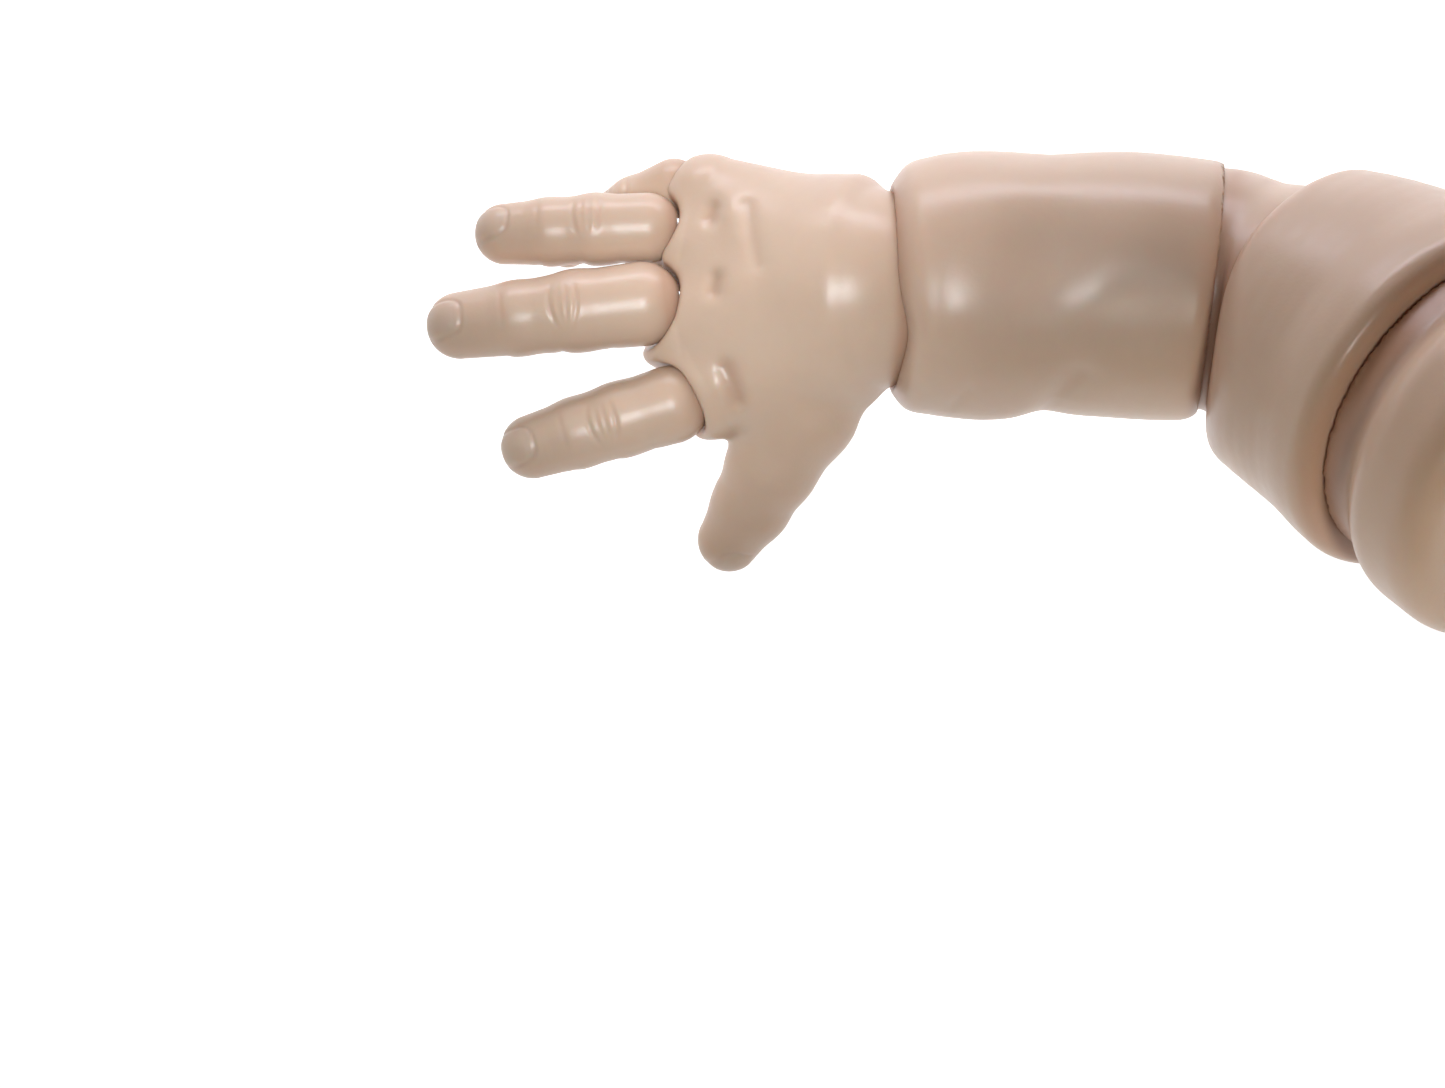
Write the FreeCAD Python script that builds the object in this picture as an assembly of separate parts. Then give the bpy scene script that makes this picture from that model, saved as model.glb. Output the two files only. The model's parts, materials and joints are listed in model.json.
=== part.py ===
"""Passive right arm of an infant-size figure: soft skins over a friction-jointed inner frame.

Millimetres, +Z up. The origin is the centre of the flat end face of the shoulder flange.
The arm reaches from there towards -X: the palm faces -Z and the thumb is on the -Y side.
"""
import FreeCAD, Part
import math
import os

V = FreeCAD.Vector


def unit(x, y, z):
    return V(x, y, z).normalize()


# ---------------------------------------------------------------- driving dimensions
# Directions of the arm's three straight stretches.
SHOULDER_AXIS = unit(0.50, -0.52, 0.69)
UPPER_AXIS = unit(0.82, -0.35, 0.45)
FOREARM_AXIS = V(1, 0, 0)

# Lengths along the arm.
FLANGE_T = 14.0
GROOVE_W = 7.5
UPPER_HALF_L = 25.5
FOREARM_L = 62.9

# Radii of the limb: the forearm and the shoulder drive the rest.
FOREARM_R = 22.4
SHOULDER_R = 31.0
WALL = 3.0
ELBOW_R = FOREARM_R - 0.1
ELBOW_BALL_R = FOREARM_R - 1.9
WRIST_BALL_R = FOREARM_R - 4.4
UPPER_MID_R = (ELBOW_R + SHOULDER_R) / 2 + 0.95
FLANGE_R = SHOULDER_R - 0.5
GROOVE_R = SHOULDER_R - 4.0
FLANGE_EDGE = 5.0
FLANGE_CHAMFER = 1.5
UPPER_SWELL = 0.45
RIM_TAPER = 0.8

# Clearances.
SWIVEL_GAP = 0.5
BALL_GAP = 0.4
SOCKET_GAP = 0.45
RUNNING = 0.05
SIDE_GAP = 0.4
WASHER_PLAY = 0.1
HARDWARE_GAP = 0.2
CORE_GAP = 0.7
SLOT_OVERRUN = 2.0
SLOT_DEGREES = 2.0

# Shoulder hardware.
INSERT_R = 5.0
INSERT_THREAD_R = 2.5
INSERT_L = 10.0
STUD_R = 4.0
STUD_HEAD_R = 7.0
STUD_HEAD_T = 3.0
STUD_IN_FLANGE = 9.0
WASHER_R = 14.0
WASHER_T = 1.2
PLATE_T = 3.0
PLATE_SETBACK = 3.0
PLATE_SCREW_SETBACK = 8.0
SPRING_WASHER_T = 0.5
CUP_R = 11.0
CUP_WALL = 2.5
CUP_L = 12.0
CUP_FOOT_T = 2.0
CUP_FOOT_OUT = 4.0

# Elbow hardware.
ROD_R = 6.0
ELBOW_PIN_R = 2.0
TONGUE_T = 6.0
TONGUE_R = 6.0
CHEEK_T = 3.6
CHEEK_R = 6.5
CHEEK_L = 13.0
FORK_GAP_L = 8.0
ELBOW_WASHER_T = 0.6
PIN_PROUD = 1.5
ELBOW_STRAIGHTEN = 35.0
RIM_TILT = 12.0
UPPER_RIM_TILT = 50.0
UPPER_RIM_OFFSET = 10.5
BALL_NECK_START = 5.0
BALL_NECK_END = 18.0
BALL_NECK_R = ELBOW_BALL_R + 2.5

# Forearm frame and wrist hardware.
CUP_FLOOR = 2.6
FRAME_PLATE_R = FOREARM_R - 7.4
FRAME_PLATE_T = 2.5
FRAME_SCREW_INSET = 3.0
CROSS_SETBACK = 5.0
STRUT_W = 5.0
STRUT_T = 3.0
STRUT_Y = 9.0
PEG_R = 3.95
PEG_EYE_R = 4.2
PEG_EYE_T = 4.2
PEG_FLAT_L = 4.3
BUSH_R = 6.0
BUSH_L = 5.0
BUSH_STANDOFF = 0.6
NUT_R = 6.5
NUT_T = 3.6
PEG_WASHER_R = 7.0
PEG_WASHER_T = 1.0
THREAD_PROUD = 1.0
WRIST_PIN_R = 1.5
WRIST_FLEX = 25.0
FORK_R = 5.5
FORK_T = 2.6
FORK_GAP = 0.3
LIP_X = 6.5
LIP_ROUND_X = 2.5
LIP_ROUND_R = 2.2

# Screws that hold skins to plates.
SCREW_R = 1.0
SCREW_HEAD_R = 1.9
SCREW_HEAD_T = 1.4
SCREW_L = 5.0
SCREW_COUNT = 4

# Knuckle hardware, the same in every finger.
KNUCKLE_PIN_R = 0.75
LUG_T = 2.2
LUG_R = 2.3
LUG_STEM_R = 2.3
LUG_BALL_R = 2.3
EAR_OUT = 3.0
EAR_R = 2.8
EAR_L = 2.5
CORE_ROD_R = 1.5
CORE_REACH = 0.8
FINGER_FLEX = 45.0
FLEX_STEP = 15.0

# Fingers: root centre from the wrist centre, tip centre from the root, end radii, direction of the back,
# and the least and most bend in degrees.
FINGERS = {
    "index": {"root": V(-30.3, -19.5, -1.0), "reach": V(-23.5, -7.0, -2.0), "root_r": 6.6, "tip_r": 5.5,
              "back": V(0, 0, 1), "bend": (0.0, FINGER_FLEX)},
    "middle": {"root": V(-35.2, -2.4, 0.0), "reach": V(-31.0, -3.5, -2.0), "root_r": 7.0, "tip_r": 5.6,
               "back": V(0, 0, 1), "bend": (0.0, FINGER_FLEX)},
    "ring": {"root": V(-34.4, 10.9, -3.0), "reach": V(-24.3, -0.9, -1.5), "root_r": 5.8, "tip_r": 5.2,
             "back": V(0, 0, 1), "bend": (0.0, FINGER_FLEX)},
    "little": {"root": V(-29.8, 18.7, -10.2), "reach": V(-19.2, -8.5, -11.0), "root_r": 5.0, "tip_r": 4.2,
               "back": V(0, 0, 1), "bend": (0.0, FINGER_FLEX)},
    "thumb": {"root": V(-9.0, -19.3, -3.0), "reach": V(-11.4, -23.2, -15.0), "root_r": 9.0, "tip_r": 5.5,
              "back": V(0, -0.54, 0.84), "bend": (-10.0, 25.0)},
}

# Palm lobes, one along each hand bone: start and end from the wrist centre, how much smaller the start is
# than the wrist ball, and the radius at the end.
PALM_LOBES = [
    (V(-5.0, -7.0, -1.0), V(-26.5, -17.0, -3.0), 5.0, 8.6),
    (V(-5.0, 0.0, -1.0), V(-29.0, -3.0, -2.5), 3.5, 9.2),
    (V(-5.5, 5.0, -1.5), V(-27.5, 9.0, -5.5), 5.0, 8.2),
    (V(-7.0, 6.5, -3.0), V(-24.0, 15.0, -8.0), 6.0, 8.1),
    (V(-6.0, -9.0, -4.0), V(-15.0, -17.5, -6.0), 7.0, 9.6),
]
PALM_HUB = V(-13.0, -1.0, -1.0)
HUB_L = 2.0

# ---------------------------------------------------------------- skeleton points
ORIGIN = V(0, 0, 0)
SHOULDER = SHOULDER_AXIS * -(FLANGE_T + GROOVE_W + SWIVEL_GAP)
UPPER_BEND = SHOULDER - SHOULDER_AXIS * UPPER_HALF_L
ELBOW = UPPER_BEND - UPPER_AXIS * UPPER_HALF_L
WRIST = ELBOW - FOREARM_AXIS * FOREARM_L
ELBOW_PIN_AXIS = UPPER_AXIS.cross(FOREARM_AXIS).normalize()
ELBOW_INSIDE = FOREARM_AXIS.cross(ELBOW_PIN_AXIS)
FAR = 200.0


# ---------------------------------------------------------------- helpers
def placed(shape, origin, ex, ey):
    """The shape moved from the standard frame to one with the given origin and X and Y directions."""
    ez = ex.cross(ey)
    matrix = FreeCAD.Matrix(ex.x, ey.x, ez.x, origin.x, ex.y, ey.y, ez.y, origin.y,
                            ex.z, ey.z, ez.z, origin.z, 0, 0, 0, 1)
    moved = shape.copy()
    moved.Placement = FreeCAD.Placement(matrix).multiply(shape.Placement)
    return moved


def rod(start, end, radius):
    return Part.makeCylinder(radius, (end - start).Length, start, end - start)


def disc(centre, axis, start, end, radius):
    return rod(centre + axis * start, centre + axis * end, radius)


def ball(centre, radius):
    return Part.makeSphere(radius, centre)


def slab(low, high):
    return Part.makeBox(high.x - low.x, high.y - low.y, high.z - low.z, low)


def fused(shapes):
    return shapes[0].multiFuse(shapes[1:]).removeSplitter()


def half_space(point, normal):
    """Everything on the side of the plane that the normal points to, as a large block."""
    side = normal.cross(V(0.3, 0.9, 0.2)).normalize()
    block = slab(V(0, -FAR, -FAR), V(2 * FAR, FAR, FAR))
    return placed(block, point, normal, side)


def turned_profile(points, centre, axis):
    """A solid of revolution from (along, radius) points: a smooth outline closed on its axis."""
    curve = Part.BSplineCurve()
    curve.interpolate([V(a, r, 0) for a, r in points])
    first, last = points[0], points[-1]
    edges = [curve.toShape(),
             Part.makeLine(V(last[0], last[1], 0), V(last[0], 0, 0)),
             Part.makeLine(V(last[0], 0, 0), V(first[0], 0, 0)),
             Part.makeLine(V(first[0], 0, 0), V(first[0], first[1], 0))]
    solid = Part.Face(Part.Wire(edges)).revolve(V(0, 0, 0), V(1, 0, 0), 360)
    side = axis.cross(V(0.1, 0.2, 1.0)).normalize()
    return placed(solid, centre, axis, side)


def round_cone(root_r, tip_r, length):
    """A ball at the origin and a smaller one at +X, joined by the cone that touches both."""
    slope = (root_r - tip_r) / length
    cosine = math.sqrt(1 - slope * slope)
    start = V(root_r * slope, root_r * cosine, 0)
    end = V(length + tip_r * slope, tip_r * cosine, 0)
    half = math.sqrt(0.5)
    edges = [Part.Arc(V(-root_r, 0, 0), V(-root_r * half, root_r * half, 0), start).toShape(),
             Part.makeLine(start, end),
             Part.Arc(end, V(length + tip_r * half, tip_r * half, 0), V(length + tip_r, 0, 0)).toShape(),
             Part.makeLine(V(length + tip_r, 0, 0), V(-root_r, 0, 0))]
    return Part.Face(Part.Wire(edges)).revolve(V(0, 0, 0), V(1, 0, 0), 360)


def swing_slot(reach, half_height, half_width, down, up):
    """The space that a lug pointing to -X needs as it swings down and up by the given degrees."""
    low = math.radians(down)
    high = math.radians(up)
    h = half_height
    outline = [V(h, 0, h),
               V(h * math.sin(high) - reach * math.cos(high), 0, h * math.cos(high) + reach * math.sin(high)),
               V(-reach * 1.2, 0, 0),
               V(h * math.sin(low) - reach * math.cos(low), 0, -h * math.cos(low) - reach * math.sin(low)),
               V(h, 0, -h)]
    face = Part.Face(Part.makePolygon(outline + outline[:1]))
    face.translate(V(0, -half_width, 0))
    return face.extrude(V(0, 2 * half_width, 0))


def hexagon(centre, axis, start, end, radius):
    corners = [V(0, radius * math.cos(math.radians(60 * i)), radius * math.sin(math.radians(60 * i)))
               for i in range(7)]
    prism = Part.Face(Part.makePolygon(corners)).extrude(V(end - start, 0, 0))
    return placed(prism, centre + axis * start, axis, axis.cross(V(0.1, 0.2, 1.0)).normalize())


def screws(centre, axis, circle_r):
    """Pan-head screws on a circle: heads on the centre plane, shanks along +axis."""
    side = axis.cross(V(0.1, 0.2, 1.0)).normalize()
    other = axis.cross(side)
    group = []
    for i in range(SCREW_COUNT):
        angle = math.radians(45 + 360.0 * i / SCREW_COUNT)
        spot = centre + side * (circle_r * math.cos(angle)) + other * (circle_r * math.sin(angle))
        group.append(fused([disc(spot, axis, -SCREW_HEAD_T, 0, SCREW_HEAD_R),
                            disc(spot, axis, 0, SCREW_L, SCREW_R)]))
    return Part.makeCompound(group)


def ring(centre, axis, radius):
    return Part.Wire([Part.Circle(centre, axis, radius).toShape()])


# ---------------------------------------------------------------- shoulder
def shoulder_flange():
    inner = -(FLANGE_T + GROOVE_W)
    outline = [V(inner, 0, 0), V(inner, GROOVE_R, 0), V(-FLANGE_T, GROOVE_R, 0),
               V(-FLANGE_T + FLANGE_CHAMFER, FLANGE_R, 0), V(-FLANGE_EDGE, FLANGE_R, 0),
               V(0, FLANGE_R - FLANGE_EDGE, 0), V(0, 0, 0), V(inner, 0, 0)]
    profile = Part.Face(Part.makePolygon(outline))
    solid = profile.revolve(V(0, 0, 0), V(1, 0, 0), 360)
    solid = placed(solid, ORIGIN, SHOULDER_AXIS, SHOULDER_AXIS.cross(V(0, 0, 1)).normalize())
    washer_seat = disc(ORIGIN, SHOULDER_AXIS, inner, inner + WASHER_T - SWIVEL_GAP, WASHER_R + HARDWARE_GAP)
    return solid.cut(fused([washer_seat, swivel_stud(), shoulder_insert_blank()]))


def shoulder_insert_blank():
    return disc(ORIGIN, SHOULDER_AXIS, -INSERT_L, 0, INSERT_R)


def shoulder_insert():
    return shoulder_insert_blank().cut(disc(ORIGIN, SHOULDER_AXIS, -INSERT_L - 1, 1, INSERT_THREAD_R))


def swivel_stud():
    seat = -(2 * PLATE_T + SPRING_WASHER_T)
    return fused([disc(SHOULDER, SHOULDER_AXIS, seat, SWIVEL_GAP + STUD_IN_FLANGE, STUD_R),
                  disc(SHOULDER, SHOULDER_AXIS, seat - STUD_HEAD_T, seat, STUD_HEAD_R)])


def spring_washer():
    seat = -2 * PLATE_T
    washer = disc(SHOULDER, SHOULDER_AXIS, seat - SPRING_WASHER_T, seat, STUD_HEAD_R)
    return washer.cut(disc(SHOULDER, SHOULDER_AXIS, seat - 1, seat + 1, STUD_R + HARDWARE_GAP))


def friction_washer():
    washer = disc(SHOULDER, SHOULDER_AXIS, RUNNING, WASHER_T, WASHER_R)
    return washer.cut(disc(SHOULDER, SHOULDER_AXIS, -1, WASHER_T + 1, STUD_R + HARDWARE_GAP))


# ---------------------------------------------------------------- upper arm
def upper_point(t):
    """A point of the upper arm's curved centre line, from the elbow at 0 to the shoulder at 1."""
    return ELBOW * (1 - t) ** 2 + UPPER_BEND * (2 * t * (1 - t)) + SHOULDER * t ** 2


def upper_direction(t):
    return (UPPER_AXIS * (1 - t) + SHOULDER_AXIS * t).normalize()


def upper_limb(inset):
    """The upper arm's smooth outer form, shrunk all round by the inset."""
    near = (ELBOW_R + UPPER_MID_R) / 2 + UPPER_SWELL
    far = (UPPER_MID_R + SHOULDER_R) / 2 + UPPER_SWELL
    stations = [(-0.2, ELBOW_R - RIM_TAPER), (0.0, ELBOW_R), (0.25, near), (0.5, UPPER_MID_R),
                (0.75, far), (1.0, SHOULDER_R)]
    rings = [ring(upper_point(t), upper_direction(t), r - inset) for t, r in stations]
    return Part.makeLoft(rings, True, False)


def rim_plane(tilt):
    angle = math.radians(tilt)
    return FOREARM_AXIS * math.cos(angle) + ELBOW_INSIDE * math.sin(angle)


def upper_arm_shell():
    outer = upper_limb(0)
    inner = upper_limb(WALL).fuse(elbow_ball_blank())
    beyond = half_space(SHOULDER - SHOULDER_AXIS * PLATE_T, SHOULDER_AXIS)
    solid = outer.cut(inner.cut(beyond))
    solid = solid.common(half_space(ELBOW + rim_plane(RIM_TILT) * SWIVEL_GAP, rim_plane(RIM_TILT)))
    upper_rim = rim_plane(UPPER_RIM_TILT)
    solid = solid.common(half_space(ELBOW + upper_rim * UPPER_RIM_OFFSET, upper_rim))
    hub_hole = disc(SHOULDER, SHOULDER_AXIS, -PLATE_T - 1, 1, STUD_HEAD_R)
    return solid.cut(hub_hole).cut(shoulder_screws())


def shoulder_plate():
    radius = SHOULDER_R - WALL - PLATE_SETBACK
    plate = disc(SHOULDER, SHOULDER_AXIS, -2 * PLATE_T, -PLATE_T, radius)
    bore = disc(SHOULDER, SHOULDER_AXIS, -3 * PLATE_T, PLATE_T, STUD_R + RUNNING)
    return plate.cut(bore).cut(shoulder_screws())


def shoulder_screws():
    circle_r = SHOULDER_R - WALL - PLATE_SCREW_SETBACK
    return screws(SHOULDER - SHOULDER_AXIS * 2 * PLATE_T, SHOULDER_AXIS, circle_r)


def upper_arm_core():
    """Fork at the elbow, bent rod, and the cup that stands on the shoulder plate."""
    cup_mouth = -2 * PLATE_T
    cup_floor = cup_mouth - CUP_L
    cup = disc(SHOULDER, SHOULDER_AXIS, cup_floor, cup_mouth, CUP_R)
    foot = disc(SHOULDER, SHOULDER_AXIS, cup_mouth - CUP_FOOT_T, cup_mouth, CUP_R + CUP_FOOT_OUT)
    hollow = disc(SHOULDER, SHOULDER_AXIS, cup_floor + CUP_WALL, cup_mouth + 1, CUP_R - CUP_WALL)
    stem = [rod(ELBOW + UPPER_AXIS * (FORK_GAP_L + 2.0), UPPER_BEND, ROD_R), ball(UPPER_BEND, ROD_R),
            disc(SHOULDER, SHOULDER_AXIS, -UPPER_HALF_L, cup_floor + 1, ROD_R)]
    return fused([cup, foot, fork()] + stem).cut(hollow).cut(elbow_pin())


def fork_inside():
    return TONGUE_T / 2 + ELBOW_WASHER_T + WASHER_PLAY


def fork():
    inside = fork_inside()
    outside = inside + CHEEK_T
    block = fused([rod(V(0, -outside, 0), V(0, outside, 0), CHEEK_R),
                   slab(V(0, -outside, -CHEEK_R), V(CHEEK_L, outside, CHEEK_R))])
    gap = slab(V(-CHEEK_R - 1, -inside, -CHEEK_R - 1), V(FORK_GAP_L, inside, CHEEK_R + 1))
    return placed(block.cut(gap), ELBOW, UPPER_AXIS, ELBOW_PIN_AXIS)


def elbow_pin():
    half = fork_inside() + CHEEK_T + PIN_PROUD
    return disc(ELBOW, ELBOW_PIN_AXIS, -half, half, ELBOW_PIN_R)


def elbow_washers():
    pair = []
    for side in (-1, 1):
        near = side * (TONGUE_T / 2 + WASHER_PLAY)
        far = near + side * ELBOW_WASHER_T
        washer = disc(ELBOW, ELBOW_PIN_AXIS, min(near, far), max(near, far), CHEEK_R - 1.0)
        pair.append(washer.cut(disc(ELBOW, ELBOW_PIN_AXIS, -FAR, FAR, ELBOW_PIN_R)))
    return Part.makeCompound(pair)


def elbow_ball_blank():
    """The ball, and the neck that widens into the upper arm where the forearm's rim never comes."""
    start_r = math.sqrt(ELBOW_BALL_R ** 2 - BALL_NECK_START ** 2)
    neck = Part.makeCone(start_r, BALL_NECK_R, BALL_NECK_END - BALL_NECK_START,
                         ELBOW + UPPER_AXIS * BALL_NECK_START, UPPER_AXIS)
    for tilt in (RIM_TILT, RIM_TILT + ELBOW_STRAIGHTEN):
        neck = neck.common(half_space(ELBOW + rim_plane(tilt) * SWIVEL_GAP, rim_plane(tilt)))
    return ball(ELBOW, ELBOW_BALL_R).fuse(neck)


def elbow_ball():
    slot = swing_slot(ELBOW_BALL_R + SLOT_OVERRUN, TONGUE_R + SIDE_GAP, fork_inside(),
                      ELBOW_STRAIGHTEN + SLOT_DEGREES, SLOT_DEGREES)
    slot = placed(slot, ELBOW, FOREARM_AXIS, ELBOW_PIN_AXIS)
    solid = elbow_ball_blank().cut(upper_arm_core()).cut(elbow_pin()).cut(slot)
    return max(solid.Solids, key=lambda s: s.Volume)


# ---------------------------------------------------------------- forearm
def forearm_limb():
    """The forearm's turned form, from the wrist lip past the elbow."""
    r = FOREARM_R
    lip = LIP_X - FOREARM_L
    points = [(lip, WRIST_BALL_R), (lip + LIP_ROUND_X, r - LIP_ROUND_R), (lip + 3 * LIP_ROUND_X, r - 0.4),
              (-0.68 * FOREARM_L, r), (-0.48 * FOREARM_L, r - 0.7), (-0.25 * FOREARM_L, r),
              (-0.1 * FOREARM_L, r), (0.0, ELBOW_R - 0.2), (0.1 * FOREARM_L, ELBOW_R - 1.0)]
    return turned_profile(points, ELBOW, FOREARM_AXIS)


def forearm_shell():
    rim = rim_plane(RIM_TILT)
    solid = forearm_limb().common(half_space(ELBOW, rim * -1))
    wall_end = WRIST + FOREARM_AXIS * frame_plate_x()
    hollow = rod(wall_end, ELBOW - FOREARM_AXIS * ELBOW_BALL_R * 0.4, FOREARM_R - WALL - CORE_GAP)
    return solid.cut(fused([hollow, ball(ELBOW, ELBOW_BALL_R + BALL_GAP)])) \
        .cut(ball(WRIST, WRIST_BALL_R + BALL_GAP)) \
        .cut(rod(WRIST, wall_end + FOREARM_AXIS, BUSH_R)) \
        .cut(forearm_screws())


def frame_plate_x():
    return WRIST_BALL_R + BALL_GAP + CUP_FLOOR


def forearm_frame():
    """Round plate on the wrist wall, two struts, and the tongue that the elbow pin goes through."""
    start = frame_plate_x() - FOREARM_L
    cross_x = -(ELBOW_BALL_R + CROSS_SETBACK)
    plate = rod(V(start, 0, 0), V(start + FRAME_PLATE_T, 0, 0), FRAME_PLATE_R)
    cross = rod(V(cross_x, 0, 0), V(cross_x + STRUT_T, 0, 0), STRUT_Y + STRUT_T)
    struts = [slab(V(start + 1, min(s * STRUT_Y, s * (STRUT_Y + STRUT_T)), -STRUT_W / 2),
                   V(cross_x + 1, max(s * STRUT_Y, s * (STRUT_Y + STRUT_T)), STRUT_W / 2)) for s in (-1, 1)]
    tongue = [slab(V(cross_x + 1, -TONGUE_T / 2, -TONGUE_R), V(0, TONGUE_T / 2, TONGUE_R)),
              rod(V(0, -TONGUE_T / 2, 0), V(0, TONGUE_T / 2, 0), TONGUE_R)]
    solid = fused([plate, cross] + struts + tongue)
    solid = solid.cut(rod(V(start - 1, 0, 0), V(start + FRAME_PLATE_T + 1, 0, 0), BUSH_R))
    solid = solid.cut(rod(V(0, -TONGUE_T, 0), V(0, TONGUE_T, 0), ELBOW_PIN_R + RUNNING))
    return placed(solid, ELBOW, FOREARM_AXIS, ELBOW_PIN_AXIS).cut(forearm_screws())


def forearm_screws():
    heads = WRIST + FOREARM_AXIS * (frame_plate_x() + FRAME_PLATE_T)
    return screws(heads, FOREARM_AXIS * -1, FRAME_PLATE_R - FRAME_SCREW_INSET)


def bush_start():
    return WRIST_BALL_R + BALL_GAP + BUSH_STANDOFF


def washer_start():
    return bush_start() + BUSH_L + WASHER_PLAY


def nut_start():
    return washer_start() + PEG_WASHER_T


def wrist_bush():
    start = bush_start()
    bush = disc(WRIST, FOREARM_AXIS, start, start + BUSH_L, BUSH_R)
    return bush.cut(disc(WRIST, FOREARM_AXIS, start - 1, start + BUSH_L + 1, PEG_R + RUNNING))


def wrist_washer():
    start = washer_start()
    washer = disc(WRIST, FOREARM_AXIS, start, start + PEG_WASHER_T, PEG_WASHER_R)
    return washer.cut(disc(WRIST, FOREARM_AXIS, start - 1, start + PEG_WASHER_T + 1, PEG_R))


def wrist_nut():
    nut = hexagon(WRIST, FOREARM_AXIS, nut_start(), nut_start() + NUT_T, NUT_R)
    return nut.cut(disc(WRIST, FOREARM_AXIS, nut_start() - 1, nut_start() + NUT_T + 1, PEG_R))


def wrist_peg():
    """Round peg that turns in the bush, flattened at the hand's end around the wrist pin."""
    shank_start = PEG_EYE_R + PEG_FLAT_L
    shank = rod(V(shank_start, 0, 0), V(nut_start() + NUT_T + THREAD_PROUD, 0, 0), PEG_R)
    eye = [rod(V(0, -PEG_EYE_T / 2, 0), V(0, PEG_EYE_T / 2, 0), PEG_EYE_R),
           slab(V(0, -PEG_EYE_T / 2, -PEG_R * 0.8), V(shank_start + 1, PEG_EYE_T / 2, PEG_R * 0.8))]
    solid = fused([shank] + eye)
    solid = solid.cut(rod(V(0, -PEG_EYE_T, 0), V(0, PEG_EYE_T, 0), WRIST_PIN_R + RUNNING))
    return placed(solid, WRIST, V(1, 0, 0), V(0, 1, 0))


# ---------------------------------------------------------------- hand
def finger_frame(name):
    """Root centre, direction to the tip, and knuckle axis: a positive turn bends towards the palm."""
    finger = FINGERS[name]
    ahead = V(finger["reach"]).normalize()
    axis = finger["back"].cross(ahead).normalize()
    return WRIST + finger["root"], ahead, axis


def finger_body(name, grow):
    finger = FINGERS[name]
    return round_cone(finger["root_r"] + grow, finger["tip_r"] + grow, finger["reach"].Length)


def finger_core_blank(name):
    length = FINGERS[name]["reach"].Length
    ears = fused([rod(V(0, -EAR_OUT, 0), V(0, EAR_OUT, 0), EAR_R),
                  slab(V(0, -EAR_OUT, -EAR_R), V(LUG_R + EAR_L, EAR_OUT, EAR_R)),
                  rod(V(LUG_R + 1, 0, 0), V(length * CORE_REACH, 0, 0), CORE_ROD_R)])
    gap = LUG_T / 2 + SIDE_GAP
    return ears.cut(slab(V(-EAR_R - 1, -gap, -EAR_R - 1), V(LUG_R + SIDE_GAP, gap, EAR_R + 1)))


def knuckle_pin_blank():
    return rod(V(0, -EAR_OUT, 0), V(0, EAR_OUT, 0), KNUCKLE_PIN_R)


def finger_core(name):
    return placed(finger_core_blank(name).cut(knuckle_pin_blank()), *finger_frame(name))


def knuckle_pin(name):
    return placed(knuckle_pin_blank(), *finger_frame(name))


def finger_skin(name):
    finger = FINGERS[name]
    least, most = finger["bend"]
    slot = swing_slot(finger["root_r"] + SLOT_OVERRUN, LUG_R + SIDE_GAP, LUG_T / 2 + SIDE_GAP,
                      most + SLOT_DEGREES, SLOT_DEGREES - least)
    solid = finger_body(name, 0).cut(finger_core_blank(name)).cut(knuckle_pin_blank()).cut(slot)
    solid = max(solid.Solids, key=lambda s: s.Volume)
    return placed(solid, *finger_frame(name))


def finger_sweep(name):
    """The spaces that a finger fills as it bends, with clearance all round: its root ball, then cones."""
    finger = FINGERS[name]
    least, most = finger["bend"]
    steps = int(math.ceil((most - least) / FLEX_STEP))
    root_r = finger["root_r"] + SOCKET_GAP
    spaces = [ball(V(0, 0, 0), root_r)]
    for i in range(steps + 1):
        cone = Part.makeCone(root_r * 0.998, finger["tip_r"] + SOCKET_GAP, finger["reach"].Length,
                             V(0, 0, 0), V(1, 0, 0))
        cone.rotate(V(0, 0, 0), V(0, 1, 0), least + (most - least) * i / steps)
        spaces.append(cone)
    return [placed(space, *finger_frame(name)) for space in spaces]


def lug(name):
    """Flat lug that carries the knuckle pin, with the rod that joins it to the palm's hub."""
    back = -(FINGERS[name]["root_r"] + LUG_BALL_R + HARDWARE_GAP)
    plate = fused([slab(V(back, -LUG_T / 2, -LUG_STEM_R), V(0, LUG_T / 2, LUG_STEM_R)),
                   rod(V(0, -LUG_T / 2, 0), V(0, LUG_T / 2, 0), LUG_R)])
    centre, ahead, axis = finger_frame(name)
    end = centre + ahead * back
    bone = [rod(end, WRIST + PALM_HUB, LUG_STEM_R), ball(end, LUG_BALL_R)]
    return fused([placed(plate, centre, ahead, axis)] + bone)


def palm_frame():
    inside = PEG_EYE_T / 2 + FORK_GAP
    outside = inside + FORK_T
    block = fused([rod(V(0, -outside, 0), V(0, outside, 0), FORK_R),
                   slab(V(PALM_HUB.x - HUB_L, -outside, -FORK_R), V(0, outside, FORK_R))])
    gap = slab(V(-PEG_EYE_R - 2 * FORK_GAP, -inside, -FORK_R - 1), V(FORK_R + 1, inside, FORK_R + 1))
    wrist_fork = placed(block.cut(gap), WRIST, V(1, 0, 0), V(0, 1, 0))
    solid = fused([wrist_fork] + [lug(name) for name in FINGERS]).cut(wrist_pin())
    for name in FINGERS:
        centre, _, axis = finger_frame(name)
        solid = solid.cut(disc(centre, axis, -LUG_T, LUG_T, KNUCKLE_PIN_R + RUNNING))
    return solid


def wrist_pin():
    half = PEG_EYE_T / 2 + FORK_GAP + FORK_T
    return disc(WRIST, V(0, 1, 0), -half, half, WRIST_PIN_R)


def palm_limb():
    lobes = [ball(WRIST, WRIST_BALL_R)]
    for start, end, drop, end_r in PALM_LOBES:
        along = end - start
        lobe = round_cone(WRIST_BALL_R - drop, end_r, along.Length)
        lobes.append(placed(lobe, WRIST + start, V(along).normalize(), along.cross(V(0, 0, 1)).normalize()))
    return fused(lobes)


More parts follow.
